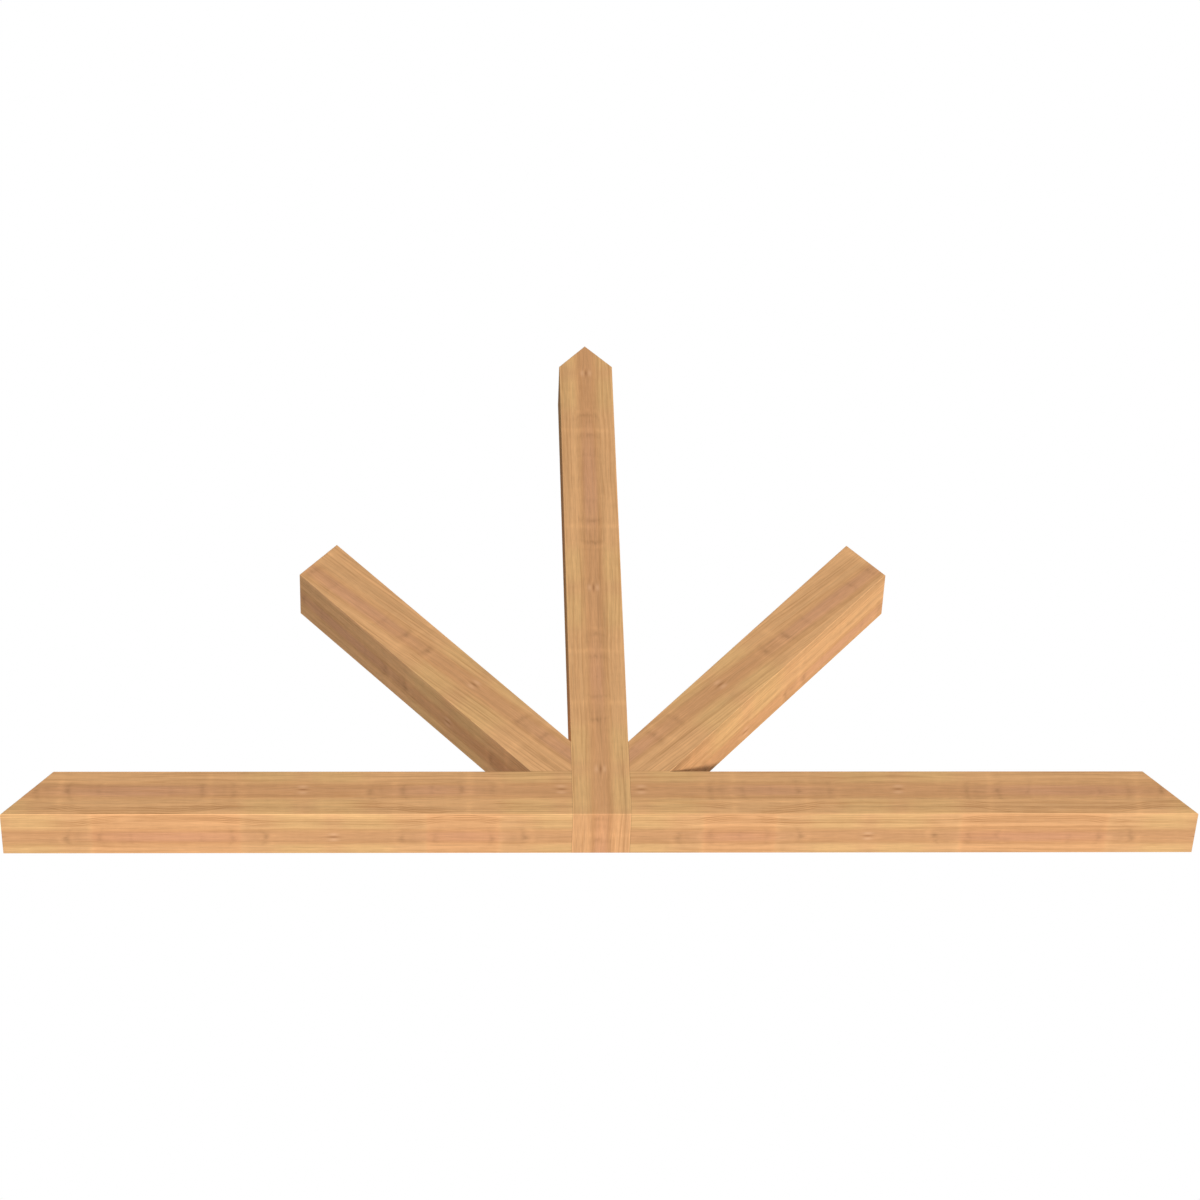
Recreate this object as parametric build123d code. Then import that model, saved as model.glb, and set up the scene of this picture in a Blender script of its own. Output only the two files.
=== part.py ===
from build123d import *
from math import atan2, degrees, hypot, radians, cos, sin
import os

# Timber gable bracket, in millimetres.
# A king post with a pointed head stands between the two halves of a level beam. A strut rises out
# of each corner between beam and post. Every upper end is sawn to the slope of the roof above, so
# that all of them meet the underside of the two rafters.
# The origin is at the middle of the bracket's foot: X runs along the beam, Z is up, and the front
# looks along -Y.

# Driving dimensions
overall_width = 1828.8  # along the bottom of the beam, from point to point
roof_rise = 14.0  # the roof climbs by this much
roof_run = 12.0  # over this much on the level
timber_depth = 88.9  # front to back, one value because all the timbers lie flush
beam_face = 88.9  # height of the beam
post_face = 88.9  # width of the king post
strut_face = 88.9  # width of a strut, square to its length
arris_radius = 1.0  # sanding round on the edges of the front and the back

# The roof line, and the right-hand corners of the outline, as X and Z
slope = roof_rise / roof_run
half_width = overall_width / 2
post_side = post_face / 2
beam_point = Vector(half_width, 0)
beam_heel = Vector(half_width - beam_face / slope, beam_face)
post_point = Vector(0, half_width * slope)
post_shoulder = Vector(post_side, (half_width - post_side) * slope)
post_foot = Vector(post_side, 0)
inner_corner = Vector(post_side, beam_face)

# The strut's centre line leaves the inner corner at half a strut's width from it, on the line
# that halves the corner, and ends at the middle of the open stretch of roof line.
corner_bisector = radians(45)
strut_seat = inner_corner + Vector(cos(corner_bisector), sin(corner_bisector)) * strut_face / 2
strut_top = (beam_heel + post_shoulder) / 2
strut_line = strut_top - strut_seat
strut_angle = degrees(atan2(strut_line.Y, strut_line.X))
strut_waste = 4 * strut_face  # what a strut's blank has beyond its line, all of it trimmed off
on_face = arris_radius / 10  # an edge this near to the front or the back lies on it


def left_of(corners):
    """The same corners on the other side of the post."""
    return [Vector(-corner.X, corner.Y) for corner in corners]


def king_post_profile():
    """The post runs from the foot of the bracket to the point of the gable."""
    right = [post_foot, post_shoulder]
    return Polygon(*right, post_point, *reversed(left_of(right)), align=None)


def beam_profile():
    """The right-hand half of the beam butts against the side of the post."""
    return Polygon(post_foot, beam_point, beam_heel, inner_corner, align=None)


def strut_profile():
    """A straight length of timber, trimmed by the post, the beam and the roof line."""
    open_bay = Polygon(inner_corner, beam_heel, post_shoulder, align=None)
    blank = Rectangle(hypot(strut_line.X, strut_line.Y) + strut_waste, strut_face)
    middle = (strut_seat + strut_top) / 2
    return Location(middle) * Rot(0, 0, strut_angle) * blank & open_bay


def sawn(profile):
    """A profile of the front view, as deep as the timbers and centred front to back."""
    return extrude(Plane.XZ * profile, amount=timber_depth / 2, both=True)


def sanded(pieces):
    """The joined bracket with the edges of its front and back rounded where they lie open."""
    joined = Part() + pieces
    face_edges = [
        edge
        for edge in joined.edges()
        if abs(abs(edge.center().Y) - timber_depth / 2) < on_face
    ]
    return fillet(face_edges, arris_radius)


def timbers():
    """Every timber by name, each one trimmed to the surface that sanding leaves."""
    beam = sawn(beam_profile())
    strut = sawn(strut_profile())
    blanks = {
        "king_post": sawn(king_post_profile()),
        "beam_left": mirror(beam, about=Plane.YZ),
        "beam_right": beam,
        "strut_left": mirror(strut, about=Plane.YZ),
        "strut_right": strut,
    }
    surface = sanded(list(blanks.values()))
    return {name: blank & surface for name, blank in blanks.items()}


os.makedirs("parts", exist_ok=True)
for name, timber in timbers().items():
    export_step(timber, f"parts/{name}.step")
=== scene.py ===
import bpy
from math import atan2, cos, pi, radians, sin
from mathutils import Euler, Matrix, Vector


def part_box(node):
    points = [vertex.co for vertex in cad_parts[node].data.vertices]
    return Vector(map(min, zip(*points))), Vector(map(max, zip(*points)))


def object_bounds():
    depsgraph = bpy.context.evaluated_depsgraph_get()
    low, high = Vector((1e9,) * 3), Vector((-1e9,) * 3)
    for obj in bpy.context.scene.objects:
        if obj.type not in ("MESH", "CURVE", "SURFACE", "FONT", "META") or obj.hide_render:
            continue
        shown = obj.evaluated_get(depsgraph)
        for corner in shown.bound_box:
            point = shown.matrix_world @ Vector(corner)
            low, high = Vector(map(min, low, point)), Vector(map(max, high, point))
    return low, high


# The finish of a timber gable bracket: five planed softwood timbers, and the stage they stand on.

bl_info = {
    "name": "Timber gable bracket",
    "version": (1, 0, 0),
    "blender": (4, 5, 0),
    "location": "3D View > Sidebar > Bracket",
    "description": "Finishes a gable bracket's timbers as planed softwood and lights them on a plain stage",
    "category": "Object",
}

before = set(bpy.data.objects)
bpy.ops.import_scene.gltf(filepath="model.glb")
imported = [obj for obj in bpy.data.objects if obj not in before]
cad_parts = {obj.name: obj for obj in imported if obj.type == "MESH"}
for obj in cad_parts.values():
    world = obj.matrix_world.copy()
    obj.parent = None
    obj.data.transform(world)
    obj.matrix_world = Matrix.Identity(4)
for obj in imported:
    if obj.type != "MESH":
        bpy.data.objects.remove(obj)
cad_low, cad_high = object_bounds()

# Sizes of the bracket, read from the frame, in metres
HALF_WIDTH = cad_high.x
HEIGHT = cad_high.z
post_low, post_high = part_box("king_post")
FACE = post_high.x - post_low.x
HALF_FACE = FACE / 2
ROOF_SLOPE = HEIGHT / HALF_WIDTH

# Materials count in millimetres
MM = 1000.0
HALF_MM = HALF_FACE * MM

# How squarely a surface cuts the grain, where it starts to count as sawn and where it fully does
SAWN_FACING = (0.4, 0.6)

# Distance along the grain from the nearest pin knot, where each change starts and where it is full
ROSY_FROM = (66, 112)
CORE_FROM = (80, 230)
BLUSH_FROM = (138, 146)
WAVES_FROM = (45, 115)
WAVES_SWING_FROM = (100, 195)

# Edges of the heartwood, beyond half its width, where each starts and where it is full
HEARTWOOD_EDGE = (7, -6)
MARKED_EDGE = (9, -4)
CORE_EDGE = (-1, -12)

# Radius of the heart in a sawn end, where it starts and where it is full
END_HEART_RADIUS = (36, 22)

# Lines beside the middle of the heartwood, each as its distance and half width
SMUDGE_LINE = (31, 4.5)
DULL_LINE = (36, 5)
PALE_LINE = (46, 7)

# The darker wood beyond those lines, where it starts and where it is full
DARK_SIDE_FROM = (50, 72)

# Marks across the grain, each as its distance from the pin knot, half width and strength
DARK_MARKS = ((104.5, 4.6, 1.0), (153.5, 4.5, 0.9), (200, 4.5, 0.5), (120, 5.0, 0.25))
LIGHT_MARKS = ((92, 5.0, 1.0), (138, 5.5, 0.8), (171, 6.0, 0.3), (206, 5.0, 0.5))

# The bright band across a face, and how much a mark bows with the square of its way from the heart
BRIGHT_BAND = (141, 6)
MARK_BOW = 0.016

# Wavy lines, each as its distance beyond the first one, half width and strength
WAVY_LINES = ((0, 1.2, 0.75), (3.9, 1.0, 0.8), (7.6, 1.0, 0.7), (11.5, 1.0, 0.6))

# How far the first one runs from the lower front arris, how far it swings out, and where the arris lies
WAVES_OFF_ARRIS = 15
WAVES_SWING = 12
WAVES_SWING_ON_STRUTS = 5
HEART_TO_ARRIS = 48.6

# Half sizes of a pin knot, and the pale wood beside it as its distance and half width
KNOT_LENGTH = 8.5
KNOT_THICKNESS = 1.9
KNOT_HALO = (6.3, 3.0)

# The arrises made paler, partly by sanding and partly as a painted highlight, where it starts and where it
# is full, and half the dark line of a joint
ARRIS_SANDING_AND_HIGHLIGHT = (1.6, 0.4)
JOINT_LINE = 0.7

# Painted shade on the struts' upper and lower faces over the beam, each part as its height above it, half
# width and strength
PAINTED_CORNER_SHADE = ((0, 110, 0.16), (0, 40, 0.12))

# Where each lamp stands, seen from the bracket, and the colours of light
FRONT_LAMP = (-0.175, -0.482, -0.859)
SIDE_LAMP = (0.654, -0.509, -0.560)
TOP_LAMP = (-0.02, -0.11, 0.99)
BACK_LAMP = (-0.02, 0.985, 0.17)
COOL_LIGHT = (0.975, 1.0, 1.06)
WARM_LIGHT = (1.03, 1.0, 0.96)


class Field:
    """A number, colour or direction that varies over a surface. Sums with it add nodes to its tree."""

    def __init__(self, tree, socket=None):
        self.tree = tree
        self.socket = socket

    def node(self, kind, settings=None, values=None, output=0):
        """One output of a new node, whose settings are set first and then its sockets."""
        made = self.tree.nodes.new(kind)
        for name, setting in (settings or {}).items():
            setattr(made, name, setting)
        for key, value in (values or {}).items():
            if isinstance(value, Field):
                self.tree.links.new(value.socket, made.inputs[key])
            else:
                made.inputs[key].default_value = value
        return Field(self.tree, made.outputs[output])

    def maths(self, operation, *others):
        """This number put through one sum, with the others as its further values."""
        return self.node("ShaderNodeMath", {"operation": operation}, dict(enumerate((self, *others))))

    def __add__(self, other):
        return self.maths("ADD", other)

    def __sub__(self, other):
        return self.maths("SUBTRACT", other)

    def __mul__(self, other):
        return self.maths("MULTIPLY", other)

    def __radd__(self, other):
        return self + other

    def __rsub__(self, other):
        return self * -1.0 + other

    def __rmul__(self, other):
        return self * other

    def __abs__(self):
        return self.maths("ABSOLUTE")

    def dot(self, direction):
        """How far this place lies along a direction."""
        values = {0: self, 1: direction}
        return self.node("ShaderNodeVectorMath", {"operation": "DOT_PRODUCT"}, values, "Value")

    def step(self, low, high):
        """A soft step of this number, 0 at low and 1 at high, either way round."""
        settings = {"interpolation_type": "SMOOTHSTEP"}
        return self.node("ShaderNodeMapRange", settings, {"Value": self, "From Min": low, "From Max": high})

    def hump(self, middle, width):
        """A bell curve of this number, 1 at its middle and a third at its width."""
        away = (self - middle) * (1 / width)
        return (away * away * -1.0).maths("EXPONENT")

    def humps(self, rows):
        """Bell curves added together, each given by its middle, width and height."""
        total = 0.0
        for middle, width, height in rows:
            total = self.hump(middle, width) * height + total
        return total

    def mix(self, first, second):
        """A colour that goes from the first to the second as this number goes from 0 to 1."""
        settings = {"data_type": "RGBA", "clamp_factor": True}
        return self.node("ShaderNodeMix", settings, {0: self, 6: first, 7: second}, 2)

    def blend(self, first, second):
        """A number that goes from the first to the second as this one goes from 0 to 1."""
        return self.node("ShaderNodeMix", {"data_type": "FLOAT"}, {0: self, 2: first, 3: second})

    def times(self, other):
        """This colour times another."""
        return self.node("ShaderNodeVectorMath", {"operation": "MULTIPLY"}, {0: self, 1: other})

    def scaled(self, factor):
        """This colour made brighter or darker."""
        return self.node("ShaderNodeVectorMath", {"operation": "SCALE"}, {0: self, "Scale": factor})

    def scaling(self, colour):
        """A set colour made brighter or darker by this number."""
        return self.node("ShaderNodeVectorMath", {"operation": "SCALE"}, {0: tuple(colour), "Scale": self})


def noise(along, across, depth, seed, detail=2.0, roughness=0.5):
    """Smooth noise from 0 to 1 at a place given in lengths of its own waves."""
    place = along.node("ShaderNodeCombineXYZ", None, {0: along, 1: across, 2: depth})
    sizes = {"Vector": place, "W": seed, "Scale": 1.0, "Detail": detail, "Roughness": roughness}
    return along.node("ShaderNodeTexNoise", {"noise_dimensions": "4D"}, sizes)


def solid(colour):
    """A set colour with its alpha, as a colour socket takes it."""
    return (*colour, 1.0)


class BRACKET_PG_timber(bpy.types.PropertyGroup):
    """How the softwood looks."""

    sapwood: bpy.props.FloatVectorProperty(
        name="Sapwood",
        description="Golden wood along the edges of each face",
        subtype="COLOR",
        default=(0.652, 0.387, 0.169),
        min=0,
        max=1,
    )
    sapwood_rosy: bpy.props.FloatVectorProperty(
        name="Rosy sapwood",
        description="The same between the pin knots",
        subtype="COLOR",
        default=(0.650, 0.363, 0.166),
        min=0,
        max=1,
    )
    heartwood: bpy.props.FloatVectorProperty(
        name="Heartwood",
        description="Brown band along the middle of each face",
        subtype="COLOR",
        default=(0.562, 0.300, 0.133),
        min=0,
        max=1,
    )
    heartwood_rosy: bpy.props.FloatVectorProperty(
        name="Rosy heartwood",
        description="The same between the pin knots",
        subtype="COLOR",
        default=(0.573, 0.298, 0.154),
        min=0,
        max=1,
    )
    blush: bpy.props.FloatVectorProperty(
        name="Blush",
        description="Tint of the beam's level faces and the post's sides between knots, and of the foot",
        subtype="COLOR",
        default=(1.0, 0.952, 0.947),
        min=0,
        max=1,
    )
    latewood: bpy.props.FloatVectorProperty(
        name="Latewood",
        description="Hard dark lines of the grain",
        subtype="COLOR",
        default=(0.340, 0.150, 0.052),
        min=0,
        max=1,
    )
    end_grain: bpy.props.FloatVectorProperty(
        name="End grain",
        description="Wood sawn across its length",
        subtype="COLOR",
        default=(0.600, 0.340, 0.155),
        min=0,
        max=1,
    )
    end_heart: bpy.props.FloatVectorProperty(
        name="Heart of the end grain",
        description="The same near the middle of the timber",
        subtype="COLOR",
        default=(0.550, 0.290, 0.135),
        min=0,
        max=1,
    )
    knot: bpy.props.FloatVectorProperty(
        name="Pin knot",
        description="Heart of a pin knot",
        subtype="COLOR",
        default=(0.30, 0.135, 0.060),
        min=0,
        max=1,
    )
    knot_edge: bpy.props.FloatVectorProperty(
        name="Edge of a pin knot",
        description="Pale wood on both sides of a pin knot",
        subtype="COLOR",
        default=(0.690, 0.395, 0.215),
        min=0,
        max=1,
    )
    heart_width: bpy.props.FloatProperty(
        name="Heartwood band",
        description="Width of the brown band on a face",
        subtype="DISTANCE",
        unit="LENGTH",
        default=0.034,
        min=0,
    )
    ring_width: bpy.props.FloatProperty(
        name="Growth ring",
        description="From one growth ring to the next",
        subtype="DISTANCE",
        unit="LENGTH",
        default=0.0042,
        min=0.0005,
    )
    long_knot_gap: bpy.props.FloatProperty(
        name="Long knot gap",
        description="From one pin knot to the next, by turns with the short gap",
        subtype="DISTANCE",
        unit="LENGTH",
        default=0.510,
        min=0.01,
    )
    short_knot_gap: bpy.props.FloatProperty(
        name="Short knot gap",
        description="From one pin knot to the next, by turns with the long gap",
        subtype="DISTANCE",
        unit="LENGTH",
        default=0.395,
        min=0.01,
    )
    roughness: bpy.props.FloatProperty(
        name="Roughness",
        description="Roughness of the sanded faces",
        subtype="FACTOR",
        default=0.66,
        min=0,
        max=1,
    )
    relief: bpy.props.FloatProperty(
        name="Grain relief",
        description="How far the hard lines of the grain stand out",
        subtype="DISTANCE",
        unit="LENGTH",
        default=0.00015,
        min=0,
    )


class BRACKET_PG_stage(bpy.types.PropertyGroup):
    """The floor, the light and the camera."""

    floor: bpy.props.FloatVectorProperty(
        name="Floor",
        description="Colour of the floor",
        subtype="COLOR",
        default=(0.84, 0.835, 0.83),
        min=0,
        max=1,
    )
    floor_radius: bpy.props.FloatProperty(
        name="Floor radius",
        description="How far out the floor fades into the background",
        subtype="DISTANCE",
        unit="LENGTH",
        default=6.0,
        min=1,
    )
    surround: bpy.props.FloatProperty(
        name="Surround",
        description="Light that comes from all round",
        default=0.06,
        min=0,
    )
    surround_colour: bpy.props.FloatVectorProperty(
        name="Surround colour",
        description="Colour of the light that comes from all round",
        subtype="COLOR",
        default=(0.97, 1.0, 1.03),
        min=0,
    )
    key_light: bpy.props.FloatProperty(
        name="Front light",
        description="Light on a white card that faces the front lamp",
        default=0.743,
        min=0,
    )
    side_light: bpy.props.FloatProperty(
        name="Side light",
        description="Light on a white card that faces the side lamp",
        default=0.953,
        min=0,
    )
    top_light: bpy.props.FloatProperty(
        name="Top light",
        description="Light on a white card that faces the top lamp",
        default=0.72,
        min=0,
    )
    back_light: bpy.props.FloatProperty(
        name="Back light",
        description="Light on a white card that faces the back lamp",
        default=0.88,
        min=0,
    )
    camera_place: bpy.props.FloatVectorProperty(
        name="Camera",
        description="Where the camera stands, below the level of the bracket",
        subtype="TRANSLATION",
        unit="LENGTH",
        default=(-0.2783, -5.1179, -4.5919),
    )
    camera_pitch: bpy.props.FloatProperty(
        name="Pitch",
        description="How far the camera looks up",
        subtype="ANGLE",
        default=radians(44.836),
    )
    camera_yaw: bpy.props.FloatProperty(
        name="Yaw",
        description="How far the camera turns to the right",
        subtype="ANGLE",
        default=radians(3.243),
    )
    camera_roll: bpy.props.FloatProperty(
        name="Roll",
        description="How far the camera leans",
        subtype="ANGLE",
        default=radians(-2.220),
    )
    camera_lens: bpy.props.FloatProperty(
        name="Lens",
        description="Focal length of the camera, in millimetres",
        subtype="DISTANCE_CAMERA",
        default=134.65,
        min=10,
    )


class Timber:
    """Where one timber's grain runs, for its material. Lengths are in metres."""

    def __init__(
        self,
        node,
        outer_end,
        along,
        seed,
        knot,
        knot_around,
        knot_line,
        heart,
        waves,
        grain_slope=0.0,
        joints=(),
    ):
        self.node = node
        self.outer_end = Vector(outer_end)  # middle of the outer end, where lengths along the grain start
        self.along = Vector(along).normalized()  # from the outer end towards the crossing
        self.across = Vector((-self.along.z, 0, self.along.x))  # square to it, and never downwards
        if self.across.z < 0:
            self.across = -self.across
        self.seed = seed
        self.knot = knot  # from the outer end to the first pin knot on the front
        self.knot_around = knot_around  # how much further along those of the top and the underside lie
        self.knot_line = knot_line  # from the middle of the front to its pin knots
        self.heart = heart  # from the middle of the front and of the underside to the heartwood
        self.waves = waves  # how clearly the wavy lines below its heartwood show
        self.grain_slope = grain_slope  # how far the grain runs off the timber's own direction
        self.rakes = grain_slope != 0  # whether it is a strut, which has a few marks of its own
        self.joints = joints  # the planes it is trimmed to, each as its direction and how far out it lies


class Grain:
    """Where each point of a timber's surface lies in its grain, in millimetres."""

    def __init__(self, tree, timber, look):
        self.timber = timber
        self.look = look
        start = Field(tree)
        self.place = start.node("ShaderNodeTexCoord", output="Object")
        facing = start.node("ShaderNodeNewGeometry", output="Normal").dot(timber.along)
        self.sawn = (facing * -1.0).step(*SAWN_FACING)
        self.foot = facing.step(*SAWN_FACING)

        # Along the timber from its outer end, across it, and from front to back.
        # The foot of the post goes on from its front.
        depth = self.place.dot((0, 1, 0)) * MM
        unrolled = self.foot * (depth + HALF_MM)
        self.length = (self.place.dot(timber.along) - timber.outer_end.dot(timber.along)) * MM + unrolled
        self.width = (self.place.dot(timber.across) - timber.outer_end.dot(timber.across)) * MM
        self.depth = depth - unrolled
        self.front = (abs(self.depth) - abs(self.width)).step(-0.2, 0.2)

        # The grain wanders a little, and a strut's runs off its own direction
        self.wander = self.clouds(long=260, wide=80, seed=0, detail=1.0) - 0.5
        self.waver = self.clouds(long=45, wide=11, seed=3, detail=1.0) - 0.5
        shift = self.wander * 5 + self.waver * 0.9
        self.slope = self.length * timber.grain_slope
        self.across = self.width + self.slope + shift
        self.inward = self.depth + shift
        sideways = self.front * self.across + (1 - self.front) * self.inward

        # The nearest pin knot and the middle of the heartwood
        self.heart_on_front, self.heart_on_underside = (line * MM for line in timber.heart)
        self.reach = self.reach_of_knots()
        self.knot_side = self.beside(sideways, timber.knot_line * MM)
        self.heart_side = self.beside(sideways, self.heart_on_front)
        self.from_heart = abs(self.heart_side)

        # The grain parts round each knot
        near = self.reach.hump(0, 20) * self.knot_side.hump(0, 9)
        parted = self.knot_side * near * 0.6
        self.across = self.across - parted * self.front
        self.inward = self.inward - parted * (1 - self.front)

    def clouds(self, long, wide, seed, detail=2.0):
        """Noise with waves of this length and width in the timber."""
        across, inward = self.width * (1 / wide), self.depth * (1 / wide)
        return noise(self.length * (1 / long), across, inward, self.timber.seed + seed, detail)

    def streaks(self, long, wide, seed, detail=2.0, roughness=0.5):
        """The same, but along the grain and round its pin knots."""
        across, inward = self.across * (1 / wide), self.inward * (1 / wide)
        return noise(self.length * (1 / long), across, inward, self.timber.seed + seed, detail, roughness)

    def reach_of_knots(self):
        """Distance along the grain to the nearest pin knot, with long and short gaps by turns."""
        long_gap, short_gap = self.look.long_knot_gap * MM, self.look.short_knot_gap * MM
        around = self.timber.knot_around * MM * (1 - self.front)
        turns = (self.length - self.timber.knot * MM - around).maths("WRAP", long_gap + short_gap, 0.0)
        to_middle, to_end = abs(turns - long_gap), abs(turns - (long_gap + short_gap))
        return turns.maths("MINIMUM", to_middle).maths("MINIMUM", to_end)

    def beside(self, sideways, on_front):
        """How far a place lies beside a line of the front, and beside the heartwood underneath."""
        return sideways - self.front * (on_front - self.heart_on_underside) - self.heart_on_underside


class Heartwood:
    """Brown heartwood along the middle of each face, rosy in its core and between the pin knots."""

    def __init__(self, grain):
        look, reach, from_heart = grain.look, grain.reach, grain.from_heart
        half_band = look.heart_width * MM / 2
        edges = (HEARTWOOD_EDGE, MARKED_EDGE, CORE_EDGE)
        within = [from_heart.step(half_band + start, half_band + full) for start, full in edges]
        self.band, self.marked, middle = within
        rosy = reach.step(*ROSY_FROM).maths("MAXIMUM", reach.hump(0, 18) * 0.8)
        core = middle * (reach.step(*CORE_FROM) * 0.75 + 0.25)
        sapwood = rosy.mix(solid(look.sapwood), solid(look.sapwood_rosy))
        colour = core.mix(self.band.mix(sapwood, solid(look.heartwood)), solid(look.heartwood_rosy))

        # The blush is missing on the struts
        self.blush = (1 - grain.front) * reach.step(*BLUSH_FROM) * (0.0 if grain.timber.rakes else 1.0)
        tint = self.blush.maths("MAXIMUM", grain.foot).mix(solid((1, 1, 1)), solid(look.blush))
        self.colour = colour.times(tint)


def cross_marks(grain, heartwood):
    """Lightness of the marks across the grain, broken and uneven, and bowed towards the pin knots."""
    uneven_place = grain.clouds(long=26, wide=8, seed=5)
    uneven = uneven_place.step(0.40, 0.62)
    bowed = grain.reach + (uneven_place - 0.5) * 14 - grain.heart_side * grain.heart_side * MARK_BOW
    dark, light = bowed.humps(DARK_MARKS), bowed.humps(LIGHT_MARKS)
    in_heart = (light * 0.08 - dark * 0.11) * (uneven * 0.8 + 0.2) * heartwood.marked
    bright = grain.reach.hump(*BRIGHT_BAND) * (1 - heartwood.band * 0.4) * (uneven * 0.5 + 0.5)
    middle = dark * grain.heart_side.hump(0, 7) * (uneven * 0.4 + 0.6)
    return in_heart + bright * 0.085 - middle * 0.13


class Rings:
    """Growth rings round the heart, wide apart in the middle of a face and close at its edges."""

    def __init__(self, grain):
        flat = (grain.from_heart * grain.from_heart + HALF_MM * HALF_MM).maths("SQRT") + grain.wander * 10
        across, inward = grain.width - grain.heart_on_front, grain.depth - grain.heart_on_underside
        round_heart = (across * across + inward * inward).maths("SQRT")
        self.radius = round_heart + grain.waver * 2.0 + grain.wander * 6
        years = grain.sawn.blend(flat, self.radius) * (1 / (grain.look.ring_width * MM))
        broad_place = grain.width * (1 / 400), grain.depth * (1 / 400)
        seasons = noise(years * (1 / 4), *broad_place, grain.timber.seed + 41, 1.0) - 0.5

        # A ring darkens slowly through its year, and ends sharply
        year = (years + seasons * 3).maths("FRACT")
        self.late = year.step(0.3, 0.9) * year.step(1.0, 0.92)
        self.patchy = grain.streaks(long=170, wide=12, seed=23, detail=1.0).step(0.38, 0.64)


class Waves:
    """Wavy lines below the heartwood, which swing out towards the lower front arris between the knots."""

    def __init__(self, grain):
        timber = grain.timber
        above_arris = grain.width + grain.slope - grain.heart_on_front + HEART_TO_ARRIS
        around_arris = above_arris + grain.depth + HALF_MM
        full_swing = WAVES_SWING_ON_STRUTS if timber.rakes else WAVES_SWING
        swing = grain.reach.step(*WAVES_SWING_FROM) * full_swing
        beyond_first = around_arris - (WAVES_OFF_ARRIS - swing + grain.waver * 5)
        broken = grain.clouds(long=60, wide=40, seed=29, detail=1.0).step(0.32, 0.52)
        faded = grain.reach.step(*WAVES_FROM) * 0.75 + 0.25
        shown = grain.front if timber.rakes else 1.0
        self.lines = beyond_first.humps(WAVY_LINES) * broken * faded * timber.waves * shown
        self.pale = around_arris.hump(0, 6) * (0.14 * timber.waves)


def timber_material(timber, look):
    """Planed softwood with its grain laid along one timber."""
    material = bpy.data.materials.new(f"softwood_{timber.node}")
    material.use_nodes = True
    tree = material.node_tree
    surface = tree.nodes["Principled BSDF"]
    grain = Grain(tree, timber, look)
    heartwood = Heartwood(grain)
    rings = Rings(grain)
    waves = Waves(grain)

    # Lines along the grain from broad to fine, and a soft ripple across it
    broad = grain.streaks(long=700, wide=13, seed=11, detail=1.0) - 0.5
    streaks = grain.streaks(long=240, wide=5.5, seed=7) - 0.5
    fine = grain.streaks(long=90, wide=1.9, seed=9, roughness=0.6)
    dashes = grain.streaks(long=24, wide=1.5, seed=15, detail=1.0) - 0.5
    fibres = grain.clouds(long=10, wide=0.4, seed=13) - 0.5
    ripple = grain.clouds(long=11, wide=45, seed=17) - 0.5
    cloud = grain.clouds(long=90, wide=24, seed=19) - 0.5

    # Darker and paler wood beside the heartwood
    from_heart = grain.from_heart
    not_in_front = from_heart.step(*DARK_SIDE_FROM) * 0.20 - from_heart.hump(*PALE_LINE) * 0.04
    dull = from_heart.hump(*DULL_LINE) * 0.045 + not_in_front * (1 - grain.front)
    smudges = grain.reach.hump(0, 22) * from_heart.hump(*SMUDGE_LINE)

    lightness = (
        1.0
        + broad * 0.24
        + streaks * 0.32
        + (fine - 0.5) * 0.46
        + dashes * 0.30
        + fibres * 0.12
        + ripple * 0.10
        + cloud * 0.10
        + heartwood.blush * 0.035
        + cross_marks(grain, heartwood)
        - smudges * 0.07
        - dull
        + waves.pale
    )
    colour = heartwood.colour.scaled(lightness)
    late_lines = rings.late * rings.patchy * (1 - heartwood.band * 0.5)
    hard = late_lines * 0.30 + fine.step(0.54, 0.68) * 0.25 + waves.lines
    colour = hard.mix(colour, solid(look.latewood))

    # A pin knot is a dark spindle, with pale wood above and below it
    spindle = grain.reach.hump(0, KNOT_LENGTH) * grain.knot_side.hump(0, KNOT_THICKNESS)
    halo = grain.reach.hump(0, 7) * abs(grain.knot_side).hump(*KNOT_HALO)
    colour = (halo * 0.62).mix(colour, solid(look.knot_edge))
    colour = (spindle * 0.68).mix(colour, solid(look.knot))
    # Sanded arrises with a painted highlight, dark lines at the joints, and painted shade in the struts'
    # corners
    colour = colour.scaled(wear_and_painted_light(grain))

    # Sawn ends: rings square on, open pores and the faint tracks of the saw
    pore_place = grain.width * (1 / 0.7), grain.depth * (1 / 0.7), grain.length * (1 / 3)
    track_place = grain.length * (1 / 3), grain.width * (1 / 3), grain.depth * (1 / 70)
    pores = noise(*pore_place, timber.seed + 31) - 0.5
    tracks = noise(*track_place, timber.seed + 37) - 0.5
    end_light = 1.05 - rings.late * 0.24 + pores * 0.24 + cloud * 0.35 + tracks * 0.20
    end_sapwood, end_heart = end_light.scaling(look.end_grain), end_light.scaling(look.end_heart)
    end_colour = rings.radius.step(*END_HEART_RADIUS).mix(end_sapwood, end_heart)
    colour = grain.sawn.mix(colour, end_colour)

    # Hard lines stand out a little and are smoother, and sawn ends are rougher
    on_faces = (streaks + fine * 0.8 + fibres * 0.6) * (1 - grain.sawn)
    height = on_faces + rings.late * 0.5 + grain.sawn * (pores + tracks) + spindle * 0.6
    rough = look.roughness + streaks * 0.12 + grain.sawn * 0.15 - rings.late * 0.05 - spindle * 0.12
    bump_values = {"Strength": 0.7, "Distance": look.relief, "Height": height}
    bump = colour.node("ShaderNodeBump", None, bump_values)
    for socket, value in {"Base Color": colour, "Roughness": rough, "Normal": bump}.items():
        tree.links.new(value.socket, surface.inputs[socket])
    surface.inputs["Specular IOR Level"].default_value = 0.0
    return material


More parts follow.
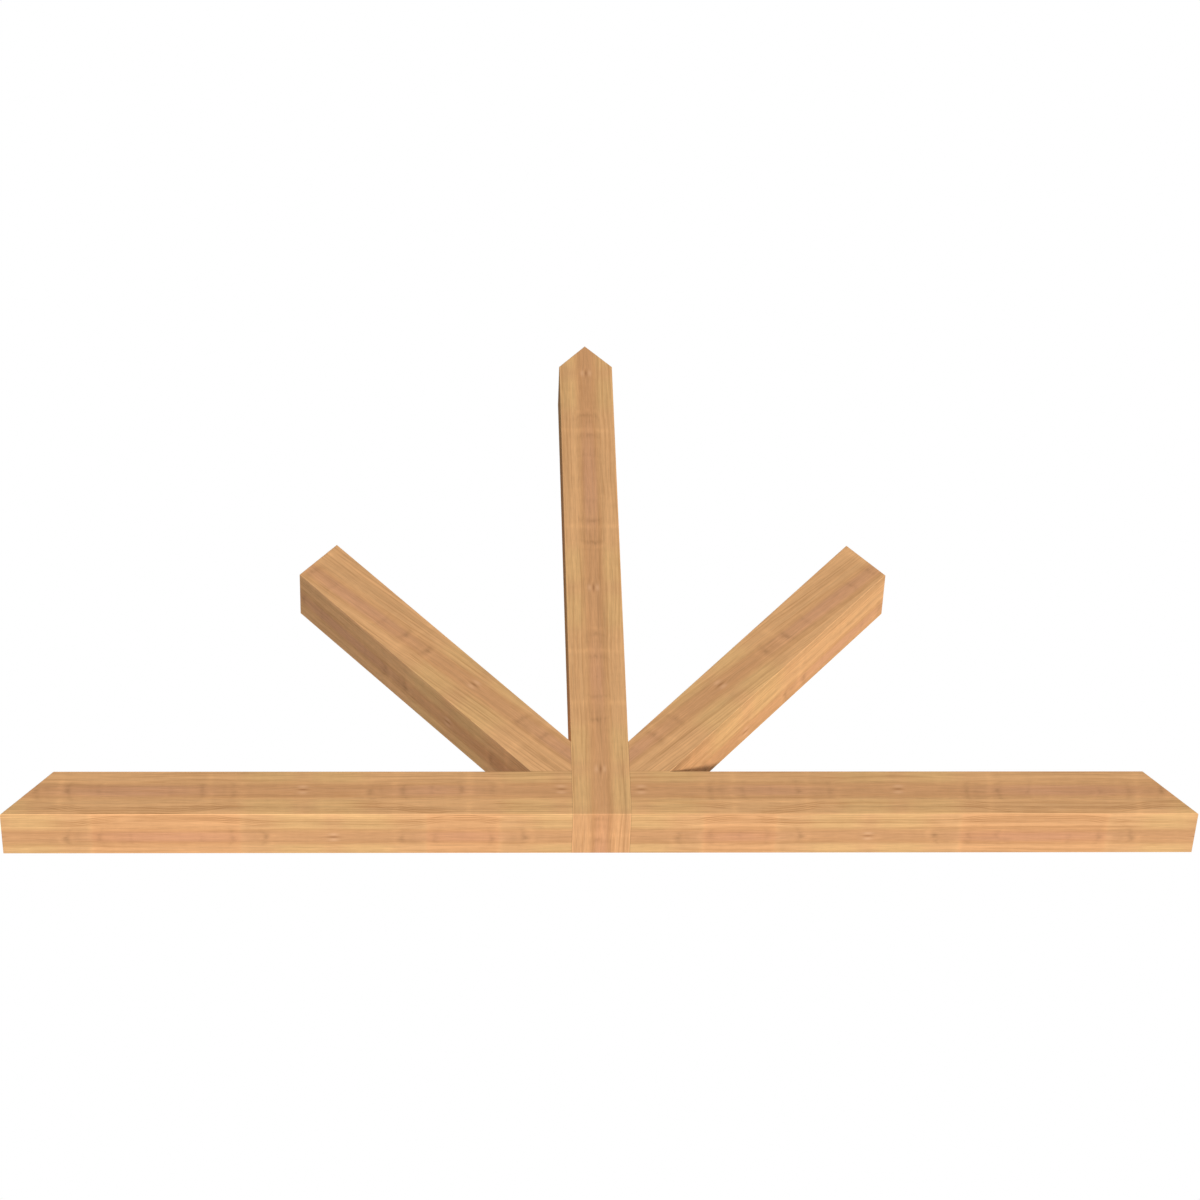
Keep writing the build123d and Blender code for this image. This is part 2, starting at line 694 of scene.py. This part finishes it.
def wear_and_painted_light(grain):
    """Arrises paler, partly as sanding and partly as a painted highlight, a fine dark line at each joint,
    and painted shade in the corners of the struts.
    """
    # Arrises made paler: partly sanding, partly a painted highlight
    from_arris = 2 * HALF_MM - abs(grain.depth) - abs(grain.width)
    light = from_arris.step(*ARRIS_SANDING_AND_HIGHLIGHT) * (1 - grain.sawn) * 0.07 + 1.0
    for towards, distance in grain.timber.joints:
        from_joint = (grain.place.dot(towards) - distance) * MM
        light = light * (1 - from_joint.hump(0, JOINT_LINE) * 0.35)

    # Painted shade: a strut's upper and lower faces are made darker near the beam, in the corner over it
    # where shade falls
    if grain.timber.rakes:
        above_beam = (grain.place.dot((0, 0, 1)) - FACE) * MM
        light = light * (1 - above_beam.humps(PAINTED_CORNER_SHADE) * (1 - grain.front))
    return light


def finish_timber(timber):
    """Gives a timber of the frame its planed softwood."""
    material = timber_material(timber, bpy.context.scene.bracket_timber)
    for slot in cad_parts[timber.node].material_slots:
        slot.material = material


class BRACKET_OT_king_post(bpy.types.Operator):
    """Finish the king post, with its grain upright"""

    bl_idname = "bracket.king_post"
    bl_label = "King Post"

    def execute(self, context):
        post = Timber(
            node="king_post",
            outer_end=(0, 0, HEIGHT),
            along=(0, 0, -1),
            seed=2.0,
            knot=0.068,
            knot_around=0.047,
            knot_line=0.0,
            heart=(0.0, 0.0),
            waves=0.06,
        )
        finish_timber(post)
        return {"FINISHED"}


class BRACKET_OT_beam(bpy.types.Operator):
    """Finish both halves of the beam, with their grain level"""

    bl_idname = "bracket.beam"
    bl_label = "Beam"

    def execute(self, context):
        for node, side, seed in (("beam_left", -1, 31.0), ("beam_right", 1, 57.0)):
            half = Timber(
                node=node,
                outer_end=(side * HALF_WIDTH, 0, HALF_FACE),
                along=(-side, 0, 0),
                seed=seed,
                knot=-0.052,
                knot_around=0.047,
                knot_line=0.0065,
                heart=(0.0042, 0.0065),
                waves=0.52,
                joints=[((side, 0, 0), HALF_FACE)],
            )
            finish_timber(half)
        return {"FINISHED"}


class BRACKET_OT_struts(bpy.types.Operator):
    """Finish both struts, with their grain a little off their own direction"""

    bl_idname = "bracket.struts"
    bl_label = "Struts"

    def execute(self, context):
        top, seat = strut_line()
        down = seat - top
        off_grain = atan2(down.z, down.x) - atan2(-1, -1)
        sides = (("strut_left", -1, 83.0, 0.004), ("strut_right", 1, 101.0, 0.026))
        for node, side, seed, heart_underneath in sides:
            strut = Timber(
                node=node,
                outer_end=(side * top.x, 0, top.z),
                along=(side * down.x, 0, down.z),
                seed=seed,
                knot=-0.1375,
                knot_around=0.0,
                knot_line=-0.0214,
                heart=(-0.0235, heart_underneath),
                waves=0.24,
                grain_slope=-abs(off_grain),
                joints=[((side, 0, 0), HALF_FACE), ((0, 0, 1), FACE)],
            )
            finish_timber(strut)
        return {"FINISHED"}


def strut_line():
    """The right-hand strut's own line, from its outer end to its seat in the corner."""
    heel = Vector((HALF_WIDTH - FACE / ROOF_SLOPE, 0, FACE))
    shoulder = Vector((HALF_FACE, 0, (HALF_WIDTH - HALF_FACE) * ROOF_SLOPE))
    seat = Vector((HALF_FACE + cos(pi / 4) * HALF_FACE, 0, FACE + sin(pi / 4) * HALF_FACE))
    return (heel + shoulder) / 2, seat


def sunlight(name, towards, strength, softness, colour=(1.0, 1.0, 1.0), shadows=True):
    """A far lamp, its softness in degrees. A strength of 1 lights a white card that faces it to white."""
    lamp = bpy.data.lights.new(name, "SUN")
    lamp.energy = strength * pi
    lamp.color = colour
    lamp.angle = radians(softness)
    lamp.use_shadow = shadows
    holder = bpy.data.objects.new(name, lamp)
    holder.rotation_euler = Vector(towards).to_track_quat("Z", "Y").to_euler()
    bpy.context.collection.objects.link(holder)


def floor_material(look):
    """A pale matt floor that fades into the background, and that isn't there from below."""
    material = bpy.data.materials.new("pale_floor")
    material.use_nodes = True
    tree = material.node_tree
    tree.nodes.remove(tree.nodes["Principled BSDF"])
    start = Field(tree)
    matt = start.node("ShaderNodeBsdfDiffuse", None, {"Color": solid(look.floor)})
    clear = start.node("ShaderNodeBsdfTransparent")
    place = start.node("ShaderNodeTexCoord", output="Object")
    away = place.node("ShaderNodeVectorMath", {"operation": "LENGTH"}, {0: place}, "Value")
    faded = away.step(look.floor_radius * 0.3, look.floor_radius * 0.95)
    below = start.node("ShaderNodeNewGeometry", output="Backfacing")
    gone = faded.maths("MAXIMUM", below)
    shown = start.node("ShaderNodeMixShader", None, {0: gone, 1: matt, 2: clear})
    tree.links.new(shown.socket, tree.nodes["Material Output"].inputs["Surface"])
    return material


def make_floor(look):
    """A round floor just under the bracket's foot, which light passes to reach the wood from below."""
    corners = 96
    gap = 0.0005  # so that the floor and the foot don't share a plane
    turns = [2 * pi * corner / corners for corner in range(corners)]
    rim = [(look.floor_radius * cos(turn), look.floor_radius * sin(turn), -gap) for turn in turns]
    mesh = bpy.data.meshes.new("floor")
    mesh.from_pydata(rim, [], [range(corners)])
    mesh.materials.append(floor_material(look))
    floor = bpy.data.objects.new("floor", mesh)
    floor.visible_shadow = False
    floor.visible_diffuse = False
    bpy.context.collection.objects.link(floor)


def make_world(look):
    """White where the camera sees it, and a low even light everywhere else."""
    world = bpy.data.worlds.new("studio")
    world.use_nodes = True
    tree = world.node_tree
    background = tree.nodes["Background"]
    start = Field(tree)
    kinds = ("Is Camera Ray", "Is Glossy Ray", "Is Transmission Ray")
    direct, mirrored, through = (start.node("ShaderNodeLightPath", output=kind) for kind in kinds)
    seen = direct.maths("MAXIMUM", mirrored).maths("MAXIMUM", through)
    strength = look.surround + seen * (1 - look.surround)
    tint = seen.mix(solid(look.surround_colour), solid((1, 1, 1)))
    tree.links.new(tint.socket, background.inputs["Color"])
    tree.links.new(strength.socket, background.inputs["Strength"])
    bpy.context.scene.world = world


def make_camera(look):
    """A camera that looks up at the bracket, with a long lens."""
    camera = bpy.data.objects.new("camera", bpy.data.cameras.new("camera"))
    camera.data.sensor_width = 36
    camera.data.lens = look.camera_lens
    level = Euler((pi / 2 + look.camera_pitch, 0, -look.camera_yaw)).to_matrix()
    turned = level @ Matrix.Rotation(look.camera_roll, 3, "Z")
    camera.matrix_world = Matrix.LocRotScale(Vector(look.camera_place), turned, None)
    bpy.context.collection.objects.link(camera)
    bpy.context.scene.camera = camera


class BRACKET_OT_stage(bpy.types.Operator):
    """Set up the floor, the light and the camera"""

    bl_idname = "bracket.stage"
    bl_label = "Stage"

    def execute(self, context):
        look = context.scene.bracket_stage
        make_camera(look)
        make_world(look)
        make_floor(look)
        sunlight("front_lamp", FRONT_LAMP, look.key_light, softness=18, colour=COOL_LIGHT, shadows=False)
        sunlight("side_lamp", SIDE_LAMP, look.side_light, softness=4, colour=WARM_LIGHT)
        sunlight("top_lamp", TOP_LAMP, look.top_light, softness=36)
        sunlight("back_lamp", BACK_LAMP, look.back_light, softness=40)
        context.scene.view_settings.view_transform = "Standard"
        return {"FINISHED"}


class BRACKET_PT_panel(bpy.types.Panel):
    """The bracket's timbers and stage, in the order they are made"""

    bl_idname = "BRACKET_PT_panel"
    bl_label = "Timber Gable Bracket"
    bl_space_type = "VIEW_3D"
    bl_region_type = "UI"
    bl_category = "Bracket"

    def draw(self, context):
        for look in (context.scene.bracket_timber, context.scene.bracket_stage):
            for name in look.bl_rna.properties.keys():
                if name not in ("rna_type", "name"):
                    self.layout.prop(look, name)
        for step in STEPS:
            self.layout.operator(step.bl_idname)


LOOKS = (BRACKET_PG_timber, BRACKET_PG_stage)
STEPS = (BRACKET_OT_stage, BRACKET_OT_king_post, BRACKET_OT_beam, BRACKET_OT_struts)


def register():
    for made in (*LOOKS, *STEPS, BRACKET_PT_panel):
        bpy.utils.register_class(made)
    bpy.types.Scene.bracket_timber = bpy.props.PointerProperty(type=BRACKET_PG_timber)
    bpy.types.Scene.bracket_stage = bpy.props.PointerProperty(type=BRACKET_PG_stage)


def unregister():
    del bpy.types.Scene.bracket_stage
    del bpy.types.Scene.bracket_timber
    for made in reversed((*LOOKS, *STEPS, BRACKET_PT_panel)):
        bpy.utils.unregister_class(made)


def main():
    register()
    bpy.ops.bracket.stage()
    bpy.ops.bracket.king_post()
    bpy.ops.bracket.beam()
    bpy.ops.bracket.struts()


if __name__ == "__main__":
    main()
